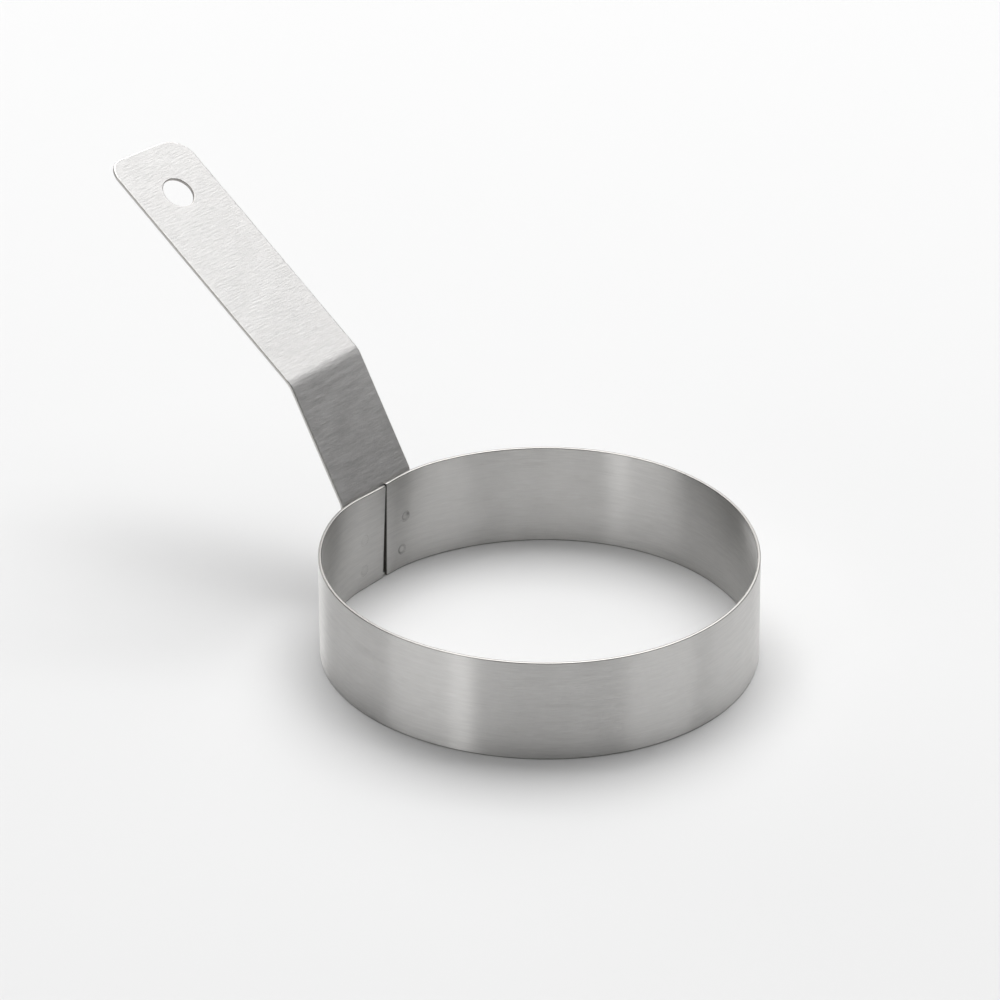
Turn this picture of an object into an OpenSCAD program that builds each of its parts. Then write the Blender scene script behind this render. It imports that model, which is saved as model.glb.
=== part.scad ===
// Egg ring. A rolled steel band stands on its edge and is closed by the foot of a strap handle,
// which is spot welded over the open butt seam. The band's middle is on the z axis, the plane
// z = 0 is what it stands on, and the handle leaves it along +x.

/* [Strip] */
// Thickness of the steel strip that the band and the handle are cut from
strip_t = 0.8; // [0.6:0.05:1.2]

/* [Band] */
// Inside diameter of the band's round stretch
ring_bore = 101.6; // [80:0.1:130]
// Height of the band
band_h = 25; // [20:0.5:35]
// How far the band's outside is pressed in from its circle under the handle
flat_depth = 1.4; // [1:0.05:1.8]
// Outside radius of the two bends that lead from the flat seat back to the circle
blend_r = 36; // [24:0.5:38]
// Width of the open gap between the band's two ends
seam_gap = 0.6; // [0.3:0.05:1]
// Place of the seam along y, measured from the handle's centre line
seam_y = -1.5; // [-2.5:0.1:2.5]

/* [Handle] */
// Width of the strap
strap_w = 24.4; // [20:0.1:30]
// Height of the foot's lower edge above the plane that the band stands on
foot_lift = 0.5; // [0.3:0.1:2]
// Radius of the foot's two lower corners
foot_corner_r = 1.5; // [0.5:0.1:3]
// Height of the first bend line above the band's rim, negative below it
rim_rise = 0; // [-1:0.1:2]
// Lean of the lower strap from upright, in degrees
lower_lean = 30.2; // [20:0.1:40]
// Length of the lower strap between the two bend lines
lower_len = 30.9; // [24:0.1:45]
// Rise of the upper strap above level, in degrees
upper_rise = 35; // [20:0.1:48]
// Length of the upper strap from its bend line to its free end
upper_len = 68.2; // [45:0.1:90]
// Inside radius of the bend at the rim
rim_bend_r = 2.5; // [1.5:0.1:4]
// Inside radius of the bend between the two straps
mid_bend_r = 6.5; // [2:0.1:10]
// Radius of the two corners at the free end
end_corner_r = 5.5; // [3:0.1:8]

/* [Hang hole] */
// Diameter of the hang hole
hole_d = 8; // [5:0.1:10]
// Distance from the free end to the middle of the hang hole
hole_from_end = 13; // [10:0.1:20]

/* [Spot welds] */
// Diameter of a weld nugget
weld_d = 2.8; // [2:0.1:4]
// Depth of the dimple that the electrode leaves on each face
weld_dimple = 0.12; // [0.05:0.01:0.2]
// Height of the lower row of welds
weld_low_z = 5; // [4:0.1:8]
// Spacing of the two rows of welds
weld_row_step = 8.2; // [6:0.1:12]
// Distance of each column of welds from the seam
weld_from_seam = 7; // [4:0.1:9]

/* [Hidden] */

// Segments of the band's arcs, and of the small bends and holes
ring_fn = 240;
small_fn = 96;
// Overshoot of a cutting tool past the face that it cuts
past = 0.5;
// What is added to an arc's radius, so that it crosses the two faces that it joins
cross = 0.001;

steel = [0.72, 0.72, 0.71];
weld_steel = [0.6, 0.58, 0.55];

// The point at the distance r from the origin in the direction a, in degrees
function polar(r, a) = [r * cos(a), r * sin(a)];

// The band's outline: a circle, a flat seat at x = seat_x, and a blend on each side of the seat
// that touches the seat at y = blend_y and the circle in the direction blend_a
band_r = ring_bore / 2 + strip_t;
seat_x = band_r - flat_depth;
blend_x = seat_x - blend_r;
blend_y = sqrt(pow(band_r - blend_r, 2) - pow(blend_x, 2));
blend_a = atan2(blend_y, blend_x);

// The strap's front face seen from the side, with the seat as its x = 0 and height as its y:
// the foot's lower edge, the two bend lines and the free end
mid_turn = 90 - upper_rise - lower_lean;
foot_edge = [0, foot_lift];
rim_line = [0, band_h + rim_rise];
mid_line = rim_line + polar(lower_len, 90 - lower_lean);
free_end = mid_line + polar(upper_len, upper_rise);
// The two bends, each as its line, the direction that the strap arrives in, how far it turns
// down there, and the bend's inside radius
bends = [
    [rim_line, 90, lower_lean, rim_bend_r],
    [mid_line, 90 - lower_lean, mid_turn, mid_bend_r]
];
// How far behind the strap its side view is cut from, which is room enough for both bends
room = lower_len;

weld_ys = [seam_y - weld_from_seam, seam_y + weld_from_seam];
weld_zs = [weld_low_z, weld_low_z + weld_row_step];

// What an arc of the radius r leaves of the corner around it. The corner lies between the
// directions a and a + turn from the arc's centre.
module corner_waste(centre, a, turn, r) {
    reach = r + past;
    translate(centre)
        difference() {
            polygon([
                [0, 0],
                polar(reach, a),
                polar(reach / cos(turn / 2), a + turn / 2),
                polar(reach, a + turn)
            ]);
            circle(r + cross, $fn = ring_fn);
        }
}

// The inside of the band's outline, drawn in by inset
module band_outline(inset) {
    difference() {
        circle(band_r - inset, $fn = ring_fn);
        translate([seat_x - inset, -band_r])
            square([flat_depth + past, 2 * band_r]);
        for (side = [0, 1])
            mirror([0, side])
                corner_waste([blend_x, blend_y], 0, blend_a, blend_r - inset);
    }
}

// Cylinders along x at the places of the welds, from x0 to x1
module at_welds(x0, x1) {
    for (y = weld_ys, z = weld_zs)
        translate([x0, y, z])
            rotate([0, 90, 0])
                cylinder(d = weld_d, h = x1 - x0, $fn = small_fn);
}

// The rolled band: one strip, open at the butt seam, with its ends flat under the handle's foot
module ring_band() {
    color(steel)
    difference() {
        linear_extrude(band_h)
            difference() {
                band_outline(0);
                band_outline(strip_t);
                translate([seat_x - strip_t - past, seam_y - seam_gap / 2])
                    square([strip_t + 2 * past, seam_gap]);
            }
        at_welds(seat_x - strip_t - past, seat_x + past);
    }
}

// Where a face of the strap, as deep as inset below the front one, turns at a bend
function corner(bend, inset) =
    bend[0] + polar(inset, bend[1] - 90) - polar(inset * tan(bend[2] / 2), bend[1]);

// Everything behind such a face, seen from the side, with the bends' arcs for its corners.
// It runs past the strap's two ends, and past what is behind the front face, by over.
module behind_face(inset, over) {
    difference() {
        polygon([
            foot_edge + [inset, -over],
            corner(bends[0], inset),
            corner(bends[1], inset),
            free_end + polar(inset, upper_rise - 90) + polar(over, upper_rise),
            free_end + polar(room + over, upper_rise - 90) + polar(over, upper_rise),
            foot_edge + [room + over, -over]
        ]);
        for (bend = bends)
            corner_waste(
                corner(bend, bend[3] + strip_t),
                bend[1] + 90 - bend[2],
                bend[2],
                bend[3] + strip_t - inset
            );
    }
}

// Rounds the strap's two corners at its end on x = 0 to the radius r, where it arrives along +x
module round_end(r) {
    translate([0, 0, -strip_t - past])
        linear_extrude(2 * (strip_t + past))
            for (side = [0, 1])
                mirror([0, side])
                    corner_waste([-r, strap_w / 2 - r], 0, 90, r);
}

// The strap handle: an upright foot on the band, a leaning lower strap and a flatter upper one
module handle() {
    color(steel)
    difference() {
        translate([seat_x, strap_w / 2, 0])
            rotate([90, 0, 0])
                linear_extrude(strap_w)
                    difference() {
                        behind_face(0, 0);
                        behind_face(strip_t, past);
                    }
        translate([seat_x, 0, foot_lift])
            rotate([0, 90, 0])
                round_end(foot_corner_r);
        translate([seat_x + free_end.x, 0, free_end.y])
            rotate([0, -upper_rise, 0]) {
                round_end(end_corner_r);
                translate([-hole_from_end, 0, -strip_t - past])
                    cylinder(d = hole_d, h = strip_t + 2 * past, $fn = small_fn);
            }
        at_welds(seat_x - past, seat_x + strip_t + past);
    }
}

// The weld nuggets, each fused through the band's wall and the foot and a little below both faces
module spot_welds() {
    color(weld_steel)
    at_welds(seat_x - strip_t + weld_dimple, seat_x + strip_t - weld_dimple);
}

ring_band();
handle();
spot_welds();
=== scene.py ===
import math
from itertools import accumulate

import bmesh
import bpy
from bpy.props import FloatProperty, FloatVectorProperty, PointerProperty
from bpy.types import NodeSocket, Operator, Panel, PropertyGroup
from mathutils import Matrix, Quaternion, Vector, noise


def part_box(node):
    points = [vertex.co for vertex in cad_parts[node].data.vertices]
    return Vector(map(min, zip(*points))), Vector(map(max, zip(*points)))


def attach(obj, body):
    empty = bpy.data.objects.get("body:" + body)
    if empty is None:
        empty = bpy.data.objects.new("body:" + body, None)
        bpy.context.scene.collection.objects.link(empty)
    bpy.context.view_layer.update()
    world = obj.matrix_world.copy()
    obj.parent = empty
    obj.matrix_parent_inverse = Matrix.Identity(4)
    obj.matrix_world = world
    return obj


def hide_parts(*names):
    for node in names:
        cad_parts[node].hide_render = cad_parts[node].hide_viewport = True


bl_info = {
    "name": "Egg Ring",
    "version": (1, 0, 0),
    "blender": (4, 5, 0),
    "location": "3D View > Sidebar > Egg Ring",
    "description": "Makes a welded egg ring from two strip blanks, with its finishes and a studio",
    "category": "Add Mesh",
}

# The frame is the fixed ground plan of the ring: sizes that it shows are read from it
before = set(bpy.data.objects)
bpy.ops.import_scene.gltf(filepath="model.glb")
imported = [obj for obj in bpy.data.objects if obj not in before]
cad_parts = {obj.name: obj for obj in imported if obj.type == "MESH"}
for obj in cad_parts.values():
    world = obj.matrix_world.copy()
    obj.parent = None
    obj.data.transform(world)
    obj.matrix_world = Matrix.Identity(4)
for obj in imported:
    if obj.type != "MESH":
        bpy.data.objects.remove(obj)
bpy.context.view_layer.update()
BAND_LOW, BAND_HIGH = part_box("ring_band")
HANDLE_LOW, HANDLE_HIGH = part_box("handle")
WELD_LOW, WELD_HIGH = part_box("spot_welds")

MM = 0.001
# What rounding may add to a number or take from it
TINY = 1e-7
# Spacing of the two rows of welds, which also gives a nugget's size from the box of all four
WELD_ROW_STEP = 8.2 * MM
BODY = "root"
# Name of the UV map that lays each piece's strip out flat, in metres
STRIP_MAP = "strip"
# Name of the mesh attribute that says how much heat has darkened the welds
HEAT = "heat_tint"


def linear(hex_colour):
    """An sRGB hex colour such as #C0BDB8 as linear RGBA."""
    parts = [int(hex_colour[i : i + 2], 16) / 255 for i in (1, 3, 5)]
    light = [p / 12.92 if p <= 0.04045 else ((p + 0.055) / 1.055) ** 2.4 for p in parts]
    return (*light, 1.0)


def length(name, description, default):
    """A length property in metres."""
    return FloatProperty(
        name=name, description=description, default=default, unit="LENGTH", precision=5
    )


def angle(name, description, degrees):
    """An angle property, given in degrees."""
    return FloatProperty(
        name=name, description=description, default=math.radians(degrees), unit="ROTATION"
    )


def colour(name, description, hex_colour):
    """A colour property, given as an sRGB hex colour."""
    return FloatVectorProperty(
        name=name,
        description=description,
        default=linear(hex_colour),
        size=4,
        subtype="COLOR",
        min=0,
        max=1,
    )


class EggRingStrip(PropertyGroup):
    """The steel strip that the band and the handle are cut from"""

    thickness: length("Thickness", "Thickness of the strip", 0.8 * MM)
    band_edge: length("Band edge", "Radius of the band's long edges", 0.24 * MM)
    handle_edge: length("Handle edge", "Radius of the handle's outline", 0.25 * MM)
    cut_edge: length("Cut edge", "Edge radius of the band's ends, which were left as cut", 0.08 * MM)
    mesh_step: length("Mesh step", "Longest side of a mesh face on the strip", 1.25 * MM)
    fine_step: length("Fine step", "Longest side of a mesh face beside a hole", 0.45 * MM)
    ripple: length("Ripple", "Height of the slow waves in the strip's faces", 0.02 * MM)


class EggRingBand(PropertyGroup):
    """The rolled band"""

    outer_radius: length("Outer radius", "Outside radius of the round stretch", -BAND_LOW.x)
    height: length("Height", "Height of the band", BAND_HIGH.z - BAND_LOW.z)
    seat_x: length("Seat", "Distance of the flat seat's outside from the ring's middle", BAND_HIGH.x)
    blend_radius: length("Blend radius", "Outside radius of the bends beside the flat seat", 36 * MM)
    seam_gap: length("Seam gap", "Width of the open butt seam, halfway up", 1.0 * MM)
    gape: length("Gape", "How much wider the seam is at the bottom than halfway up", 0.33 * MM)
    seam_y: length("Seam place", "Place of the seam, from the handle's centre line", -2.2 * MM)
    corner_radius: length("Corner radius", "Radius of the blank's four corners", 0.3 * MM)
    heel: length("Heel", "How far the flat seat's lower edge stands out", 0.4 * MM)
    left_lean: length("Left lean", "How far the seam's left side leans in at the top", 1.0 * MM)
    right_lean: length("Right lean", "How far the seam's right side leans in at the top", 0.65 * MM)
    lean_reach: length("Lean reach", "Distance from the seam where the lean has died out", 18 * MM)
    oval: length("Oval", "How far the rolled band is drawn out to an oval", 0.45 * MM)
    oval_bearing: angle("Oval bearing", "Bearing of the oval's long axis, from the handle's", -42)
    lobes: length("Lobes", "Height of the three lobes that rolling leaves in the round", 0.4 * MM)
    lobe_bearing: angle("Lobe bearing", "Bearing of the first lobe, from the handle's", 44)


class EggRingHandle(PropertyGroup):
    """The strap handle"""

    width: length("Width", "Width of the strap", HANDLE_HIGH.y - HANDLE_LOW.y)
    foot_lift: length("Foot lift", "Height of the foot's lower edge", HANDLE_LOW.z)
    rim_height: length("First bend", "Height of the first bend line", BAND_HIGH.z)
    lower_lean: angle("Lower lean", "Lean of the lower strap from upright", 30.2)
    lower_length: length("Lower length", "Length of the strap between its bend lines", 30.9 * MM)
    upper_rise: angle("Upper rise", "Rise of the upper strap above level", 35)
    upper_length: length("Upper length", "Length of the strap past its second bend line", 68.8 * MM)
    rim_bend: length("Rim bend", "Inside radius of the bend at the rim", 2.5 * MM)
    mid_bend: length("Middle bend", "Inside radius of the bend between the straps", 6.5 * MM)
    foot_lean: length("Foot lean", "How far the foot leans in over the band's height", 0.6 * MM)
    foot_corner: length("Foot corner", "Radius of the foot's lower corners", 1.5 * MM)
    left_corner: length("Left corner", "Radius of the free end's left corner", 4.6 * MM)
    right_corner: length("Right corner", "Radius of the free end's right corner", 6.6 * MM)
    end_slant: angle("End slant", "How far the free end is out of square, longer on the left", 3.4)
    hole_diameter: length("Hole", "Diameter of the hang hole", 8 * MM)
    hole_from_end: length("Hole from end", "Free end's distance from the hole's middle", 13.6 * MM)
    hole_edge: length("Hole edge", "Radius of the hang hole's edges", 0.16 * MM)


class EggRingWelds(PropertyGroup):
    """The spot welds"""

    diameter: length("Diameter", "Diameter of a nugget", WELD_HIGH.z - WELD_LOW.z - WELD_ROW_STEP)
    dimple: length("Dimple", "Depth of the dimple that the electrode leaves", 0.12 * MM)
    groove: length("Groove", "Radius of the hardly visible groove round a weld", 0.02 * MM)
    low_z: length("Low row", "Height of the lower row of welds", 5 * MM)
    row_step: length("Row step", "Spacing of the two rows", WELD_ROW_STEP)
    right_y: length("Right column", "Place of the right column along y", -8.2 * MM)
    left_y: length("Left column", "Place of the left column along y", 5.5 * MM)
    stray_y: length("Stray across", "Upper right weld's place along y, from its column", -1.2 * MM)
    stray_z: length("Stray up", "Upper right weld's height above its row", 0.4 * MM)


class EggRingFinish(PropertyGroup):
    """The colours of the steels and of the floor"""

    band: colour("Band steel", "Brushed steel of the band", "#E0DFDD")
    handle: colour("Handle steel", "Brushed steel of the handle", "#B8B7B6")
    band_edge: colour("Band edge", "Worn steel of the band's long edges", "#AAA8A5")
    handle_edge: colour("Handle edge", "Tumbled steel of the handle's outline", "#C3C1BE")
    # This colour is darker than sheared steel alone: it also holds the painted shade of the narrow
    # open seam
    raw_cut_seam_shade: colour("Raw cut", "Sheared steel of the band's two ends", "#7A7774")
    punched: colour("Punched", "Punched and deburred steel of the hang hole's wall", "#A8A5A2")
    weld: colour("Weld steel", "Brushed steel of the weld spots", "#E0DFDD")
    floor: colour("Floor", "Matt white of the studio floor", "#E1E1E1")


class EggRingStudio(PropertyGroup):
    """The camera, the floor and the room"""

    aim: FloatVectorProperty(
        name="Aim",
        description="Point that the camera looks at",
        default=(18.6 * MM, -7.6 * MM, 29.1 * MM),
        subtype="TRANSLATION",
    )
    distance: length("Distance", "Distance from the camera to its aim", 1.532)
    azimuth: angle("Azimuth", "Bearing of the view: 0 looks along +Y, anticlockwise is more", 219.84)
    elevation: angle("Elevation", "Height of the camera above the horizon", 28.36)
    roll: angle("Roll", "Turn of the camera about its own line of sight", -0.25)
    lens: FloatProperty(name="Lens", description="Focal length", default=236.5, unit="CAMERA")
    floor_size: length("Floor size", "Side of the square floor", 14.0)
    room: colour("Room", "Colour of the dark room round the lamps", "#020202")


GROUPS = {
    "egg_ring_strip": EggRingStrip,
    "egg_ring_band": EggRingBand,
    "egg_ring_handle": EggRingHandle,
    "egg_ring_welds": EggRingWelds,
    "egg_ring_finish": EggRingFinish,
    "egg_ring_studio": EggRingStudio,
}


# Paths and blanks. A piece of strip is drawn flat, as a blank with u along it, v across it and w
# through it, and is then rolled or bent along a path.


def clamped(t):
    """t, held between 0 and 1."""
    return min(1.0, max(0.0, t))


def ease(t):
    """Rises smoothly from 0 at t = 0 to 1 at t = 1."""
    t = clamped(t)
    return t * t * (3 - 2 * t)


def right_of(heading):
    """The unit vector to the right of a heading."""
    return Vector((math.sin(heading), -math.cos(heading)))


class Path:
    """A line in a plane, from a point and a heading on, through straight stretches and arcs.

    Each stretch is its length and the angle that it turns to the right by.
    """

    def __init__(self, start, heading, stretches):
        self.start, self.heading, self.stretches = Vector(start), heading, stretches
        self.length = sum(run for run, turn in stretches)

    def at(self, u):
        """The point at the distance u along the path, and the way to the right of it there.

        Before its start and after its end the path runs on as its first and last stretch do.
        """
        here, heading = self.start, self.heading
        last = len(self.stretches) - 1
        for i, (run, turn) in enumerate(self.stretches):
            part = u if i == last else min(u, run)
            if turn:
                radius = run / turn
                centre = here + radius * right_of(heading)
                heading -= part / radius
                here = centre - radius * right_of(heading)
            else:
                here = here + part * Vector((math.cos(heading), math.sin(heading)))
            u -= part
            if i == last or u <= 0:
                break
        return here, right_of(heading)


class Blank:
    """A flat strip blank with round corners and holes, as a mesh of quads.

    corners holds the radii of the corners at u = 0 and at the far end, each as the one where v is
    negative and the one where it is positive. Holes are (u, v, radius, edge radius), and marks are
    places along u that the mesh has rows at. edge is the radius of the outline's edges, and
    end_edge that of two ends that were left as cut. Each vertex is kept flat, as u, v and w.
    """

    # Material indices: the two faces, the finished edges, and the walls that were left as cut,
    # which are those in the holes and, with end_edge, those at the two ends
    FACE, EDGE, CUT = 0, 1, 2
    CORNER_STEPS = 9
    WALL_STEPS = 5
    # Shares of the way from a hole's patch to its edge at which the mesh has a loop
    HOLE_LOOPS = (0.38, 0.7, 0.92)
    # Half the side of the square patch round a hole, in hole radii, and its least margin
    PATCH_REACH = 1.35
    PATCH_MARGIN = 0.8 * MM
    # A face's own narrow margin beside its rounded edge, which keeps the rest of it flat in shading
    MARGIN = 0.06 * MM
    # Rows or columns closer together than this become one
    LEAST_STEP = 0.02 * MM
    # Share of a wall's outward direction that lies along u from which on it is an end's wall
    END_WALL = 0.8

    def __init__(self, run, width, strip, edge, corners, holes, marks, end_edge=None):
        self.run, self.width, self.thickness, self.edge = run, width, strip.thickness, edge
        self.corners, self.holes, self.end_edge = corners, holes, end_edge
        self.inset = end_edge or edge
        self.vertices, self.faces, self.kinds, self.spots = [], [], [], []
        self.lay_grid(strip, marks)
        front = self.sheet(0.0)
        back = self.sheet(self.thickness)
        self.wall(front[0], back[0], edge)
        for near, far, hole in zip(front[1:], back[1:], holes):
            self.wall(near, far, hole[3], inside=True)

    def lay_grid(self, strip, marks):
        """Settles the rows and columns of the faces, and which of them bound each hole's patch."""
        first, last = self.inset, self.run - self.inset
        half = self.width / 2 - self.edge
        patches = [self.patch(hole) for hole in self.holes]
        rows = {first, first + self.MARGIN, last - self.MARGIN, last, *marks}
        for end, way, radii in ((first, 1, self.corners[0]), (last, -1, self.corners[1])):
            for radius in radii:
                for k in range(1, self.CORNER_STEPS + 1):
                    bow = 1 - math.cos(math.pi / 2 * k / self.CORNER_STEPS)
                    rows.add(end + way * (radius - self.edge) * bow)
        cols = {-half, self.MARGIN - half, half - self.MARGIN, half}
        for along, across in patches:
            rows.update(along)
            cols.update(across)
        rows = [u for u in rows if first - TINY <= u <= last + TINY]
        self.rows = self.stations(rows, strip, [along for along, across in patches])
        self.cols = self.stations(cols, strip, [across for along, across in patches])
        self.spans = []
        for along, across in patches:
            rows_hit = [self.nearest(self.rows, u) for u in along]
            cols_hit = [self.nearest(self.cols, v) for v in across]
            self.spans.append((*rows_hit, *cols_hit))

    def patch(self, hole):
        """The two ends of a hole's square patch along u, and those along v."""
        u, v, radius, edge = hole
        half = max(radius * self.PATCH_REACH, radius + self.PATCH_MARGIN)
        return (u - half, u + half), (v - half, v + half)

    def stations(self, marks, strip, fine_spans):
        """Places that hit the marks and lie a mesh step apart at most, or in a fine span a fine
        step.
        """
        kept = []
        for mark in sorted(marks):
            if not kept or mark - kept[-1] > self.LEAST_STEP:
                kept.append(mark)
        places = kept[:1]
        for a, b in zip(kept, kept[1:]):
            fine = any(low - TINY <= a and b <= high + TINY for low, high in fine_spans)
            step = strip.fine_step if fine else strip.mesh_step
            count = math.ceil((b - a) / step - TINY)
            places += [a + (b - a) * (i + 1) / count for i in range(count)]
        return places

    @staticmethod
    def nearest(places, mark):
        """The index of the place that lies nearest to a mark."""
        return min(range(len(places)), key=lambda i: abs(places[i] - mark))

    def half_width(self, u, side):
        """How far the face reaches from its centre line at u, on the right (0) or left (1) side."""
        half = self.width / 2 - self.edge
        ends = ((u - self.inset, self.corners[0]), (self.run - self.inset - u, self.corners[1]))
        for into, radii in ends:
            radius = radii[side] - self.edge
            if into < radius:
                return half - radius + math.sqrt(max(0.0, radius**2 - (radius - into) ** 2))
        return half

    def add(self, u, v, w):
        """Adds a vertex, and returns its index."""
        self.vertices.append((u, v, w))
        return len(self.vertices) - 1

    def quad(self, corners, kind, spots=None):
        """Adds a face. spots are its corners' places on the strip map."""
        self.faces.append(corners)
        self.kinds.append(kind)
        self.spots.append(spots or [self.vertices[c][:2] for c in corners])

    def sheet(self, w):
        """One face of the blank at the depth w. Returns its outer loop and its holes' loops."""
        half = self.width / 2 - self.edge
        grid = []
        for u in self.rows:
            reach = (self.half_width(u, 0), self.half_width(u, 1))
            grid.append([self.add(u, v / half * reach[v > 0], w) for v in self.cols])
        tall, wide = len(self.rows) - 1, len(self.cols) - 1
        for i in range(tall):
            for j in range(wide):
                if not any(i0 <= i < i1 and j0 <= j < j1 for i0, i1, j0, j1 in self.spans):
                    block = [grid[i][j], grid[i][j + 1], grid[i + 1][j + 1], grid[i + 1][j]]
                    self.quad(block, self.FACE)
        loops = [self.rim(grid, 0, tall, 0, wide)]
        for (u, v, radius, edge), span in zip(self.holes, self.spans):
            square = self.rim(grid, *span)
            loops.append(self.round_off(square, Vector((u, v)), radius + edge, w))
        return loops

    @staticmethod
    def rim(grid, i0, i1, j0, j1):
        """The vertices round a block of the grid, as a closed loop."""
        return (
            [grid[i0][j] for j in range(j0, j1)]
            + [grid[i][j1] for i in range(i0, i1)]
            + [grid[i1][j] for j in range(j1, j0, -1)]
            + [grid[i][j0] for i in range(i1, i0, -1)]
        )

    def round_off(self, square, centre, radius, w):
        """Fills the ring between a square loop and a circle, and returns the circle's loop."""
        starts = [Vector(self.vertices[k][:2]) for k in square]
        stops = [centre + radius * (p - centre).normalized() for p in starts]
        before = square
        for share in (*self.HOLE_LOOPS, 1 - self.MARGIN / self.PATCH_MARGIN, 1.0):
            ring = [self.add(*p.lerp(q, share), w) for p, q in zip(starts, stops)]
            for k in range(len(ring)):
                n = (k + 1) % len(ring)
                self.quad([before[k], before[n], ring[n], ring[k]], self.FACE)
            before = ring
        return before

    @staticmethod
    def outward(loop, inside):
        """The unit vector out of the steel at each point of a loop."""
        normals = []
        for k in range(len(loop)):
            along = (loop[(k + 1) % len(loop)] - loop[k - 1]).normalized()
            out = Vector((-along.y, along.x))
            normals.append(-out if inside else out)
        return normals

    def wall(self, near, far, edge, inside=False):
        """The rounded edge between the loops of the two faces, at the outline or in a hole."""
        flat = [Vector(self.vertices[k][:2]) for k in near]
        normals = self.outward(flat, inside)
        size = len(flat)
        # The edge's profile between the two faces: how far it stands out, and at what depth
        turns = [math.pi / 2 * (k + 1) / self.WALL_STEPS for k in range(self.WALL_STEPS)]
        profile = [(edge * math.sin(t), edge * (1 - math.cos(t))) for t in turns]
        profile += [(out, self.thickness - depth) for out, depth in reversed(profile)]
        # An end that was left as cut is rounded in the same depth but less far outwards
        cut_ends = self.end_edge is not None and not inside
        flatter = Vector((self.end_edge / edge if cut_ends else 1, 1))
        loops = [near]
        for out, depth in profile:
            ring = [self.add(*(p + n * flatter * out), depth) for p, n in zip(flat, normals)]
            loops.append(ring)
        loops.append(far)
        # The strip map goes on round the edge, so that no face of the wall is without area there
        points = [(0.0, 0.0), *profile, (0.0, self.thickness)]
        walked = [0.0, *accumulate(math.dist(p, q) for p, q in zip(points, points[1:]))]
        for s, (first, second) in enumerate(zip(loops, loops[1:])):
            for k in range(size):
                n = (k + 1) % size
                spots = [
                    flat[k] + normals[k] * walked[s],
                    flat[n] + normals[n] * walked[s],
                    flat[n] + normals[n] * walked[s + 1],
                    flat[k] + normals[k] * walked[s + 1],
                ]
                at_end = min(abs(normals[k].x), abs(normals[n].x)) > self.END_WALL
                kind = self.CUT if inside or (cut_ends and at_end) else self.EDGE
                self.quad([first[k], first[n], second[n], second[k]], kind, spots)

    def build(self, name, place, materials):
        """Makes the mesh. place turns u, v and w into a point in space."""
        mesh = bpy.data.meshes.new(name)
        mesh.from_pydata([place(*p) for p in self.vertices], [], self.faces)
        for material in materials:
            mesh.materials.append(material)
        layer = mesh.uv_layers.new(name=STRIP_MAP)
        for polygon, kind, spots in zip(mesh.polygons, self.kinds, self.spots):
            polygon.material_index = kind
            for loop, spot in zip(polygon.loop_indices, spots):
                layer.data[loop].uv = spot
        return mesh


def fitted(mesh, node):
    """Makes a mesh the piece that takes its CAD node's place."""
    loose = bmesh.new()
    loose.from_mesh(mesh)
    bmesh.ops.recalc_face_normals(loose, faces=loose.faces)
    loose.to_mesh(mesh)
    loose.free()
    mesh.shade_smooth()
    piece = bpy.data.objects.new(mesh.name, mesh)
    bpy.context.scene.collection.objects.link(piece)
    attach(piece, BODY)
    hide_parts(node)


# Shapes that the pieces share


def seam_ends(band):
    """The places along y of the band's right and left end."""
    return band.seam_y - band.seam_gap / 2, band.seam_y + band.seam_gap / 2


def band_outline(band):
    """The band's outside seen from above, as a path clockwise from its right end to its left one."""
    blend_x = band.seat_x - band.blend_radius
    blend_y = math.sqrt((band.outer_radius - band.blend_radius) ** 2 - blend_x**2)
    blend_turn = math.atan2(blend_y, blend_x)
    round_turn = 2 * math.pi - 2 * blend_turn
    right, left = seam_ends(band)
    stretches = [
        (right + blend_y, 0),
        (band.blend_radius * blend_turn, blend_turn),
        (band.outer_radius * round_turn, round_turn),
        (band.blend_radius * blend_turn, blend_turn),
        (blend_y - left, 0),
    ]
    return Path((band.seat_x, right), -math.pi / 2, stretches)


def on_seat(band, path, y):
    """The distance along the band's outline of the point at y on its flat seat."""
    right, left = seam_ends(band)
    return right - y if y < band.seam_y else path.length - (y - left)


def seat_shift(band, from_right, from_left, z):
    """How far the band stands in from its true seat, at a distance from each of its two ends."""
    right = ease(1 - from_right / band.lean_reach) * (band.right_lean * z / band.height - band.heel)
    left = ease(1 - from_left / band.lean_reach) * (band.left_lean * z / band.height - band.heel)
    return right + left


def handle_side(handle, strip, seat_x):
    """The handle's front face seen from the side, as a path from the foot's lower edge to the free
    end, and the distances along it at which its two bends start and stop.
    """
    turns = (handle.lower_lean, math.pi / 2 - handle.upper_rise - handle.lower_lean)
    radii = (handle.rim_bend + strip.thickness, handle.mid_bend + strip.thickness)
    # How much of the strap on each side of a bend line the bend takes
    takes = [r * math.tan(t / 2) for r, t in zip(radii, turns)]
    stretches = [
        (handle.rim_height - handle.foot_lift - takes[0], 0),
        (radii[0] * turns[0], turns[0]),
        (handle.lower_length - takes[0] - takes[1], 0),
        (radii[1] * turns[1], turns[1]),
        (handle.upper_length - takes[1], 0),
    ]
    ends = list(accumulate(run for run, turn in stretches))
    return Path((seat_x, handle.foot_lift), math.pi / 2, stretches), (ends[0:2], ends[2:4])


def handle_shift(band, handle, z):
    """How far the handle stands in from its true place: its foot leans, and the rest follows."""
    return handle.foot_lean * min(z / band.height, 1.0) - band.heel


def weld_places(welds):
    """The y and z of the spot welds, the right column first."""
    low, high = welds.low_z, welds.low_z + welds.row_step
    strayed = (welds.right_y + welds.stray_y, high + welds.stray_z)
    return [(welds.right_y, low), strayed, (welds.left_y, low), (welds.left_y, high)]


def ripple(strip, u, v, waves):
    """How far the slow waves in the strip move it at u and v. waves are their lengths along u and
    along v, and the place of the pattern that they are taken from.
    """
    along, across, pattern = waves
    return strip.ripple * noise.noise(Vector((u / along, v / across, pattern)))


# Materials. All but the floor's are stainless steel sheet, and keep a metal's default IOR.


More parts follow.
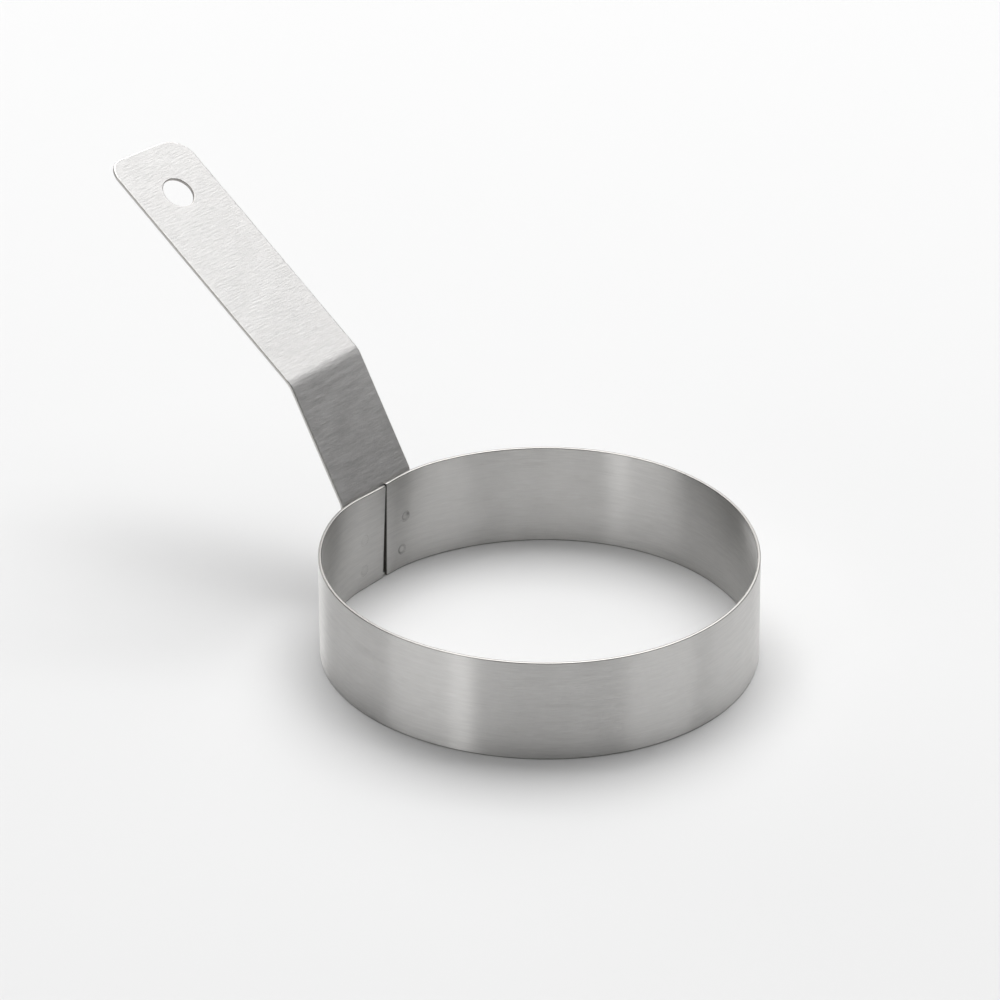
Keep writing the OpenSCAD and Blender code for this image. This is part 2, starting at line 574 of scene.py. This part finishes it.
def add_node(tree, kind, inputs=None, **settings):
    """Adds a shader node. settings are its properties, and inputs are its sockets by name or
    number, each with its value or with the output that feeds it.
    """
    node = tree.nodes.new(kind)
    for key, value in settings.items():
        setattr(node, key, value)
    for key, value in (inputs or {}).items():
        if isinstance(value, NodeSocket):
            tree.links.new(value, node.inputs[key])
        else:
            node.inputs[key].default_value = value
    return node


def new_material(name):
    """A material whose node tree is still empty."""
    material = bpy.data.materials.new(name)
    material.use_nodes = True
    material.node_tree.nodes.clear()
    return material


def surfaced(material, inputs):
    """The material, with a shader of these inputs as its surface."""
    tree = material.node_tree
    shader = add_node(tree, "ShaderNodeBsdfPrincipled", inputs)
    add_node(tree, "ShaderNodeOutputMaterial", {"Surface": shader.outputs["BSDF"]})
    return material


# The middle of a noise's values, and how far most of them lie from it
NOISE_MIDDLE = 0.5
NOISE_SPREAD = 0.2
# Belt grit leaves lines about 0.05 mm wide and 0.002 mm deep, which the picture can't hold, so
# they are drawn several times as wide and as deep: the shade of a line, its groove, and the
# streaks that many lines make together
LINE_WIDTH = 0.3 * MM
GROOVE_WIDTH = 0.5 * MM
STREAK_WIDTH = 1.1 * MM
# A groove and a streak are longer than a line by these factors
GROOVE_LENGTH = 1.5
STREAK_LENGTH = 4
# Faint clouds where the belt pressed unevenly: length along the lines, width, and weight
CLOUD_LENGTH, CLOUD_WIDTH = 9 * MM, 7 * MM
CLOUD_WEIGHT = 0.4
# How far the sum of lines, streaks and clouds leaves its middle where the contrast is full
SHADE_SPREAD = 0.35
# How far the roughness leaves its middle, on brushed steel and on steel without a grain
BRUSHED_SPREAD, PLAIN_SPREAD = 0.03, 0.02
# Size of the slightly duller spots that handling leaves on steel without a grain
MOTTLE_SIZE = 2.5 * MM
# Turn of the highlight's long axis, in full turns, for lines along u and for lines across it
TURN_ALONG, TURN_ACROSS = 0.25, 0.0

# How the two strips were brushed. along: whether the lines run along the strip. line: the length
# of a line. contrast: how far its shade leaves the base colour, as a share of it. relief: what the
# grooves' whole range of values stands for in depth, of which they fill less than half.
BAND_BRUSHING = {
    "along": True,
    "roughness": 0.38,
    "line": 4 * MM,
    "contrast": 0.08,
    "relief": 0.04 * MM,
}
HANDLE_BRUSHING = {
    "along": False,
    "roughness": 0.35,
    "line": 2.2 * MM,
    "contrast": 0.12,
    "relief": 0.05 * MM,
}


def brushed_steel(name, base, along, roughness, line, contrast, relief, tint=None):
    """Stainless steel sheet, brushed by an abrasive belt. The eye sees fine straight lines, and
    highlights drawn out into wide fans square to them. tint is an attribute of the mesh that says
    where heat has darkened it.
    """
    material = new_material(name)
    tree = material.node_tree
    strip = add_node(tree, "ShaderNodeUVMap", uv_map=STRIP_MAP)

    def streaks(long, wide, detail):
        """A noise that is drawn out along the brushing."""
        scale = (1 / long, 1 / wide, 1) if along else (1 / wide, 1 / long, 1)
        place = add_node(tree, "ShaderNodeMapping", {"Vector": strip.outputs["UV"], "Scale": scale})
        drawn = add_node(
            tree,
            "ShaderNodeTexNoise",
            {"Vector": place.outputs["Vector"], "Scale": 1.0, "Detail": detail, "Roughness": 0.55},
        )
        return drawn.outputs["Fac"]

    fine = streaks(line, LINE_WIDTH, 3.0)
    grooves = streaks(line * GROOVE_LENGTH, GROOVE_WIDTH, 2.0)
    broad = streaks(line * STREAK_LENGTH, STREAK_WIDTH, 2.0)
    clouds = streaks(CLOUD_LENGTH, CLOUD_WIDTH, 2.0)
    pair = add_node(tree, "ShaderNodeMath", {0: fine, 1: broad}, operation="ADD")
    mixed = add_node(
        tree,
        "ShaderNodeMath",
        {0: clouds, 1: CLOUD_WEIGHT, 2: pair.outputs["Value"]},
        operation="MULTIPLY_ADD",
    )
    middle = NOISE_MIDDLE * (2 + CLOUD_WEIGHT)
    shade = add_node(
        tree,
        "ShaderNodeMapRange",
        {
            "Value": mixed.outputs["Value"],
            "From Min": middle - SHADE_SPREAD,
            "From Max": middle + SHADE_SPREAD,
            "To Min": 1 - contrast,
            "To Max": 1 + contrast,
        },
        clamp=False,
    )
    level = shade.outputs["Result"]
    if tint:
        heat = add_node(tree, "ShaderNodeAttribute", attribute_name=tint)
        kept = add_node(
            tree, "ShaderNodeMath", {0: 1.0, 1: heat.outputs["Fac"]}, operation="SUBTRACT"
        )
        dimmed = add_node(
            tree, "ShaderNodeMath", {0: level, 1: kept.outputs["Value"]}, operation="MULTIPLY"
        )
        level = dimmed.outputs["Value"]
    metal = add_node(tree, "ShaderNodeVectorMath", {0: base[:3], "Scale": level}, operation="SCALE")
    dull = add_node(
        tree,
        "ShaderNodeMapRange",
        {
            "Value": broad,
            "From Min": NOISE_MIDDLE - NOISE_SPREAD,
            "From Max": NOISE_MIDDLE + NOISE_SPREAD,
            "To Min": roughness - BRUSHED_SPREAD,
            "To Max": roughness + BRUSHED_SPREAD,
        },
    )
    bump = add_node(
        tree, "ShaderNodeBump", {"Height": grooves, "Strength": 1.0, "Distance": relief}
    )
    tangent = add_node(tree, "ShaderNodeTangent", direction_type="UV_MAP", uv_map=STRIP_MAP)
    return surfaced(
        material,
        {
            "Base Color": metal.outputs["Vector"],
            "Metallic": 1.0,
            "Roughness": dull.outputs["Result"],
            "Normal": bump.outputs["Normal"],
            "Tangent": tangent.outputs["Tangent"],
            "Anisotropic": 1.0,
            "Anisotropic Rotation": TURN_ALONG if along else TURN_ACROSS,
        },
    )


def band_steel(finish):
    """The band's strip was brushed along its length before it was rolled, so its highlights are
    tall columns, streaked crosswise by the lines.
    """
    return brushed_steel("stainless_brushed_along", finish.band, **BAND_BRUSHING)


def handle_steel(finish):
    """The handle's strip was brushed across its width, in short uneven strokes."""
    return brushed_steel("stainless_brushed_across", finish.handle, **HANDLE_BRUSHING)


def weld_steel(finish):
    """The electrodes pressed the brushed faces in a little, and their heat left a dark ring."""
    return brushed_steel("stainless_weld_spot", finish.weld, **BAND_BRUSHING, tint=HEAT)


def plain_steel(name, base, roughness):
    """Stainless steel without a grain, which gives a soft shine that is hardly mottled."""
    material = new_material(name)
    tree = material.node_tree
    place = add_node(tree, "ShaderNodeTexCoord")
    mottle = add_node(
        tree,
        "ShaderNodeTexNoise",
        {"Vector": place.outputs["Object"], "Scale": 1 / MOTTLE_SIZE, "Detail": 2.0},
    )
    dull = add_node(
        tree,
        "ShaderNodeMapRange",
        {
            "Value": mottle.outputs["Fac"],
            "From Min": NOISE_MIDDLE - NOISE_SPREAD,
            "From Max": NOISE_MIDDLE + NOISE_SPREAD,
            "To Min": roughness - PLAIN_SPREAD,
            "To Max": roughness + PLAIN_SPREAD,
        },
    )
    inputs = {"Base Color": base, "Metallic": 1.0, "Roughness": dull.outputs["Result"]}
    return surfaced(material, inputs)


def band_edge_steel(finish):
    """The band's rolled edges are worn smooth, so they catch the light as thin grey lines."""
    return plain_steel("stainless_worn_edge", finish.band_edge, roughness=0.3)


def handle_edge_steel(finish):
    """The handle's outline was tumbled, so it catches the light as a thin bright line."""
    return plain_steel("stainless_tumbled_edge", finish.handle_edge, roughness=0.3)


def sheared_steel_seam_shade(finish):
    """The band's torn, dull sheared ends, darkened further as painted shade, so the seam looks dark.
    """
    return plain_steel("stainless_sheared_seam_shade", finish.raw_cut_seam_shade, roughness=0.55)


def punched_steel(finish):
    """The punch left the hole's wall dull, but brighter than a sheared end."""
    return plain_steel("stainless_punched", finish.punched, roughness=0.45)


def painted_board(finish):
    """Board with matt white paint, which gives no shine and keeps the ring's soft shadow."""
    inputs = {"Base Color": finish.floor, "Roughness": 0.9, "Specular IOR Level": 0.0}
    return surfaced(new_material("matt_white_board"), inputs)


# Pieces


class EGGRING_OT_roll_band(Operator):
    """Rolls the band from its blank, with its flat seat, its open seam and holes for the welds"""

    bl_idname = "egg_ring.roll_band"
    bl_label = "Roll Band"

    # Distance from each end at which the mesh has a row, to part the joint from the round stretch
    JOINT_REACH = 14 * MM
    # Distance past the flat seat over which the ripple and the errors of the round set in
    ROUND_REACH = 20 * MM
    # Distance from the seam over which its gape dies out
    GAPE_REACH = 5 * MM
    # The ripple's lengths along the band and up it, and its place in the noise
    WAVES = (11 * MM, 9 * MM, 3.7)

    def execute(self, context):
        scene = context.scene
        strip, band, welds = scene.egg_ring_strip, scene.egg_ring_band, scene.egg_ring_welds
        finish = scene.egg_ring_finish
        path = band_outline(band)
        run = path.length
        half = band.height / 2
        holes = []
        for y, z in weld_places(welds):
            holes.append((on_seat(band, path, y), z - half, welds.diameter / 2, welds.groove))
        corners = ((band.corner_radius, band.corner_radius),) * 2
        marks = [self.JOINT_REACH, run - self.JOINT_REACH]
        blank = Blank(
            run, band.height, strip, strip.band_edge, corners, holes, marks, strip.cut_edge
        )
        seat_end = path.stretches[0][0]
        seat_start = run - path.stretches[-1][0]

        def place(u, v, w):
            """Where rolling takes a point of the blank."""
            up = v + half
            free = ease((u - seat_end) / self.ROUND_REACH)
            free *= ease((seat_start - u) / self.ROUND_REACH)
            point, inward = path.at(u)
            bearing = math.atan2(point.y, point.x)
            out = band.oval * math.cos(2 * (bearing - band.oval_bearing))
            out += band.lobes * math.cos(3 * (bearing - band.lobe_bearing))
            waves = ripple(strip, u, up, self.WAVES) * free
            spot = point + inward * (w - out * free + waves + seat_shift(band, u, run - u, up))
            gape = band.gape * (0.5 - up / band.height)
            side = ease(1 - (run - u) / self.GAPE_REACH) - ease(1 - u / self.GAPE_REACH)
            return (spot.x, spot.y + gape * side, up)

        # The third steel, on the band's two ends, is darkened as painted shade in the open seam
        steels = [band_steel(finish), band_edge_steel(finish), sheared_steel_seam_shade(finish)]
        fitted(blank.build("ring_band_rolled", place, steels), "ring_band")
        return {"FINISHED"}


class EGGRING_OT_bend_handle(Operator):
    """Bends the handle from its blank, with its hang hole and holes for the welds"""

    bl_idname = "egg_ring.bend_handle"
    bl_label = "Bend Handle"

    # Rows of the mesh in each bend
    BEND_STEPS = 8
    # Distance past the first bend over which the ripple sets in
    RIPPLE_REACH = 10 * MM
    # Distance from the free end over which its slant dies out
    SLANT_REACH = 9 * MM
    # The ripple's lengths along the strap and across it, and its place in the noise
    WAVES = (12 * MM, 10 * MM, 8.1)

    def execute(self, context):
        scene = context.scene
        strip, band, welds = scene.egg_ring_strip, scene.egg_ring_band, scene.egg_ring_welds
        handle, finish = scene.egg_ring_handle, scene.egg_ring_finish
        path, bends = handle_side(handle, strip, band.seat_x)
        run = path.length
        holes = []
        for y, z in weld_places(welds):
            holes.append((z - handle.foot_lift, -y, welds.diameter / 2, welds.groove))
        holes.append((run - handle.hole_from_end, 0.0, handle.hole_diameter / 2, handle.hole_edge))
        marks = []
        for start, stop in bends:
            for k in range(self.BEND_STEPS + 1):
                marks.append(start + (stop - start) * k / self.BEND_STEPS)
        foot_corners = (handle.foot_corner, handle.foot_corner)
        corners = (foot_corners, (handle.left_corner, handle.right_corner))
        blank = Blank(run, handle.width, strip, strip.handle_edge, corners, holes, marks)
        slant = math.tan(handle.end_slant)
        along = Vector((math.cos(handle.upper_rise), math.sin(handle.upper_rise)))
        lower_start = bends[0][1]

        def place(u, v, w):
            """Where bending takes a point of the blank."""
            free = ease((u - lower_start) / self.RIPPLE_REACH)
            waves = ripple(strip, u, v, self.WAVES) * free
            point, behind = path.at(u)
            point.x -= handle_shift(band, handle, u + handle.foot_lift)
            at_end = clamped(1 - (run - u) / self.SLANT_REACH)
            spot = point + behind * (w + waves) + along * (-v * slant * at_end)
            return (spot.x, -v, spot.y)

        steels = [handle_steel(finish), handle_edge_steel(finish), punched_steel(finish)]
        fitted(blank.build("handle_bent", place, steels), "handle")
        return {"FINISHED"}


class EGGRING_OT_strike_welds(Operator):
    """Makes the weld nuggets, each through the band and the foot, with both its faces dished"""

    bl_idname = "egg_ring.strike_welds"
    bl_label = "Strike Welds"

    SIDES = 48
    # How far a nugget's face lies below the steel's, so that the two don't share a plane, and how
    # far its outermost ring does
    SKIN, RIM_DEPTH = 0.004 * MM, 0.016 * MM
    # A nugget's face from the middle outwards: share of its radius and of its dimple's depth
    DISH = (
        (0, 1),
        (0.3, 1),
        (0.5, 0.97),
        (0.62, 0.8),
        (0.72, 0.45),
        (0.8, 0.15),
        (0.88, 0),
        (0.985, 0),
    )
    # Each weld's dimple, as a share of the deepest one, and how dark its ring and its blot are
    STRIKES = ((1.0, 0.35, 0.0), (0.5, 0.25, 0.45), (0.3, 0.07, 0.0), (0.3, 0.05, 0.0))
    # The dark ring's radius and its width, in nugget radii
    RING_RADIUS, RING_WIDTH = 0.7, 0.2
    # The scorched blot's place to the right of the middle and above it, and its width, likewise
    BLOT_RIGHT, BLOT_UP, BLOT_WIDTH = 0.55, 0.2, 0.42

    def execute(self, context):
        scene = context.scene
        radius = scene.egg_ring_welds.diameter / 2
        vertices, faces, spots, heats = [], [], [], []
        for (y, z), (pressed, ring, blot) in zip(weld_places(scene.egg_ring_welds), self.STRIKES):
            first = len(vertices)
            points, corners, places = self.nugget(scene, y, z, pressed)
            vertices += points
            spots += places
            faces += [[first + c for c in face] for face in corners]
            for x, at_y, at_z in points:
                heats.append(self.heat((at_y - y) / radius, (at_z - z) / radius, ring, blot))
        mesh = bpy.data.meshes.new("spot_welds_struck")
        mesh.from_pydata(vertices, [], faces)
        layer = mesh.uv_layers.new(name=STRIP_MAP)
        for loop in mesh.loops:
            layer.data[loop.index].uv = spots[loop.vertex_index]
        mesh.attributes.new(HEAT, "FLOAT", "POINT").data.foreach_set("value", heats)
        mesh.materials.append(weld_steel(scene.egg_ring_finish))
        fitted(mesh, "spot_welds")
        return {"FINISHED"}

    def heat(self, left, up, ring, blot):
        """How dark heat has left the steel at a place, in nugget radii from a nugget's middle."""
        from_ring = (math.hypot(left, up) - self.RING_RADIUS) / self.RING_WIDTH
        from_blot = math.hypot(left + self.BLOT_RIGHT, up - self.BLOT_UP) / self.BLOT_WIDTH
        return ring * math.exp(-(from_ring**2)) + blot * math.exp(-(from_blot**2))

    def nugget(self, scene, y, z, pressed):
        """The vertices and faces of the nugget at y and z, whose two faces follow the steel round
        them, and its vertices' places on the strip map. These are y and z on its faces, and go on
        outwards down its side.
        """
        strip, band, welds = scene.egg_ring_strip, scene.egg_ring_band, scene.egg_ring_welds
        path = band_outline(band)
        radius = welds.diameter / 2
        depth = welds.dimple * pressed
        rim = self.RIM_DEPTH
        # Distance from the axis, share of the way from front to back, and how far behind that
        profile = [(radius * r, 0.0, self.SKIN + depth * d) for r, d in self.DISH]
        profile += [(radius, 0.0, rim), (radius, 0.5, 0.0), (radius, 1.0, -rim)]
        profile += [(radius * r, 1.0, -self.SKIN - depth * d) for r, d in reversed(self.DISH)]
        middle = len(profile) // 2
        vertices, faces, spots, rings = [], [], [], []
        for i, (r, share, behind) in enumerate(profile):
            first = len(vertices)
            down_side = strip.thickness * (1 - abs(i - middle) / middle) if r == radius else 0.0
            for k in range(self.SIDES if r else 1):
                a = 2 * math.pi * k / self.SIDES
                at_y, at_z = y + r * math.cos(a), z + r * math.sin(a)
                u = on_seat(band, path, at_y)
                seat = path.at(u)[0].x - seat_shift(band, u, path.length - u, at_z)
                front = seat - strip.thickness
                foot = band.seat_x - handle_shift(band, scene.egg_ring_handle, at_z)
                back = foot + strip.thickness
                vertices.append((front + (back - front) * share + behind, at_y, at_z))
                spread = r + down_side
                spots.append((y + spread * math.cos(a), z + spread * math.sin(a)))
            rings.append([first + k % (len(vertices) - first) for k in range(self.SIDES)])
        for near, far in zip(rings, rings[1:]):
            for k in range(self.SIDES):
                n = (k + 1) % self.SIDES
                # Beside the axis two corners are one, and the face is a triangle
                faces.append(list(dict.fromkeys([near[k], near[n], far[n], far[k]])))
        return vertices, faces, spots


# Stage


def towards(azimuth, elevation):
    """The unit vector towards an azimuth, measured as the camera's, and an elevation."""
    across = math.cos(elevation)
    return Vector((math.sin(azimuth) * across, -math.cos(azimuth) * across, math.sin(elevation)))


def facing(name, data, away, place):
    """Links a lamp or a camera at a place, facing the opposite way from away."""
    holder = bpy.data.objects.new(name, data)
    holder.location = place
    holder.rotation_mode = "QUATERNION"
    holder.rotation_quaternion = (-away).to_track_quat("-Z", "Y")
    bpy.context.scene.collection.objects.link(holder)
    return holder


def softbox(name, azimuth, elevation, distance, width, height, brightness):
    """A soft white lamp that faces the ring. At a brightness of 1 it looks like white paper."""
    lamp = bpy.data.lights.new(name, "AREA")
    lamp.shape = "RECTANGLE"
    lamp.size, lamp.size_y = width, height
    lamp.energy = brightness * math.pi * width * height
    away = towards(math.radians(azimuth), math.radians(elevation))
    facing(name, lamp, away, away * distance)


class EGGRING_OT_set_stage(Operator):
    """Sets up the floor, the camera, the lamps and the room"""

    bl_idname = "egg_ring.set_stage"
    bl_label = "Set Stage"

    # The floor lies a little below the ring's base, so that the two don't share a plane
    FLOOR_Z = -0.02 * MM
    # The camera's sensor in millimetres, and the nearest and furthest thing that it sees
    SENSOR = 36
    NEAREST, FURTHEST = 0.05, 50
    # Lamps: name, azimuth and elevation in degrees, distance, width and height in metres, and
    # brightness. The first two, behind the ring, give most of the light on the floor and the
    # upper strap, and the others are mostly there for the steel to mirror.
    LAMPS = (
        ("key_softbox", 30, 64, 3.0, 3.3, 2.2, 4.3),
        ("back_softbox", 25, 36, 3.0, 1.88, 1.4, 2.1),
        ("top_softbox", 330, 80, 1.6, 1.0, 0.7, 1.37),
        ("left_softbox", 152, 66, 1.6, 1.0, 1.1, 1.33),
        ("right_softbox", 265, 50, 1.6, 1.2, 0.7, 0.32),
        ("left_card", 162, 10, 1.6, 1.24, 0.56, 1.1),
        ("left_strip", 179, 10, 1.6, 0.3, 0.5, 1.58),
        ("front_card", 215, 10, 1.6, 1.5, 0.56, 0.16),
        ("right_card", 280, 14, 1.6, 1.15, 0.8, 0.6),
        ("far_right_card", 328, 12, 1.6, 0.9, 0.6, 0.3),
        ("back_card", 72, 10, 1.6, 0.9, 0.56, 2.0),
    )

    def execute(self, context):
        scene = context.scene
        self.lay_floor(scene)
        self.set_camera(scene)
        for lamp in self.LAMPS:
            softbox(*lamp)
        self.darken_room(scene)
        scene.view_settings.view_transform = "Standard"
        return {"FINISHED"}

    def lay_floor(self, scene):
        """A board that reaches well past the picture."""
        half = scene.egg_ring_studio.floor_size / 2
        sides = ((-half, -half), (half, -half), (half, half), (-half, half))
        mesh = bpy.data.meshes.new("floor")
        mesh.from_pydata([(x, y, self.FLOOR_Z) for x, y in sides], [], [(0, 1, 2, 3)])
        mesh.materials.append(painted_board(scene.egg_ring_finish))
        floor = bpy.data.objects.new("floor", mesh)
        scene.collection.objects.link(floor)

    def set_camera(self, scene):
        """A long lens some way off, which draws the ring with little perspective."""
        studio = scene.egg_ring_studio
        data = bpy.data.cameras.new("camera")
        data.lens, data.sensor_width = studio.lens, self.SENSOR
        data.clip_start, data.clip_end = self.NEAREST, self.FURTHEST
        away = towards(studio.azimuth, studio.elevation)
        camera = facing("camera", data, away, Vector(studio.aim) + away * studio.distance)
        camera.rotation_quaternion @= Quaternion((0, 0, 1), studio.roll)
        scene.camera = camera

    def darken_room(self, scene):
        """A room that is nearly black, so that nearly all the light comes from the lamps."""
        world = bpy.data.worlds.new("room")
        world.use_nodes = True
        background = world.node_tree.nodes["Background"]
        background.inputs["Color"].default_value = scene.egg_ring_studio.room
        scene.world = world


OPERATORS = (
    EGGRING_OT_roll_band,
    EGGRING_OT_bend_handle,
    EGGRING_OT_strike_welds,
    EGGRING_OT_set_stage,
)


class EGGRING_PT_maker(Panel):
    """Lists the steps that make the egg ring, and its sizes"""

    bl_idname = "EGGRING_PT_maker"
    bl_label = "Egg Ring"
    bl_space_type = "VIEW_3D"
    bl_region_type = "UI"
    bl_category = "Egg Ring"

    def draw(self, context):
        for operator in OPERATORS:
            self.layout.operator(operator.bl_idname)
        for key, group in GROUPS.items():
            box = self.layout.box()
            box.label(text=group.__doc__)
            for name in group.__annotations__:
                box.prop(getattr(context.scene, key), name)


CLASSES = (*GROUPS.values(), *OPERATORS, EGGRING_PT_maker)


def register():
    for cls in CLASSES:
        bpy.utils.register_class(cls)
    for key, group in GROUPS.items():
        setattr(bpy.types.Scene, key, PointerProperty(type=group))


def unregister():
    for key in GROUPS:
        delattr(bpy.types.Scene, key)
    for cls in reversed(CLASSES):
        bpy.utils.unregister_class(cls)


def main():
    register()
    bpy.ops.egg_ring.roll_band()
    bpy.ops.egg_ring.bend_handle()
    bpy.ops.egg_ring.strike_welds()
    bpy.ops.egg_ring.set_stage()


if __name__ == "__main__":
    main()
